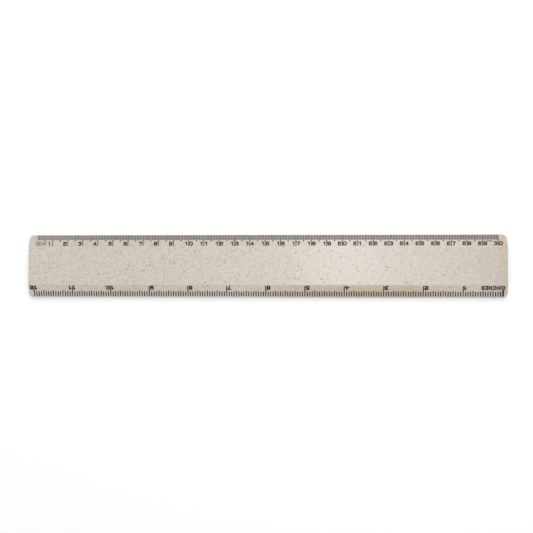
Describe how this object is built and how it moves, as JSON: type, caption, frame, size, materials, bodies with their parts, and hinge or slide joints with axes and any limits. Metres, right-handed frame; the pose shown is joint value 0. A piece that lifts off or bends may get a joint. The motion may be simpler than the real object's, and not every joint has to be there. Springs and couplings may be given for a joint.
{
  "type": "flat ruler",
  "caption": "Flat straight ruler with a sloping edge on each long side, a centimetre scale along one edge and an inch scale along the other.",
  "frame": {"origin": "middle of the flat back, on the surface that the ruler lies on", "axes": "+X along the length, the way the centimetre scale counts; +Y towards the centimetre edge; +Z out of the printed face"},
  "size_m": [0.3114, 0.0408, 0.003],
  "materials": {
    "fibre_plastic": "satin moulded plastic with fine plant-fibre flecks",
    "black_ink": "satin printed ink",
    "grey_ink": "thinner, greyer printed ink"
  },
  "bodies": {
    "root": {"blade": "fibre_plastic", "centimetre_lines": "grey_ink", "centimetre_figures": "black_ink", "centimetre_zero_sign": "grey_ink", "millimetre_sign": "black_ink", "inch_lines": "black_ink", "inch_figures": "black_ink", "inch_zero_sign": "black_ink"}
  },
  "joints": []
}
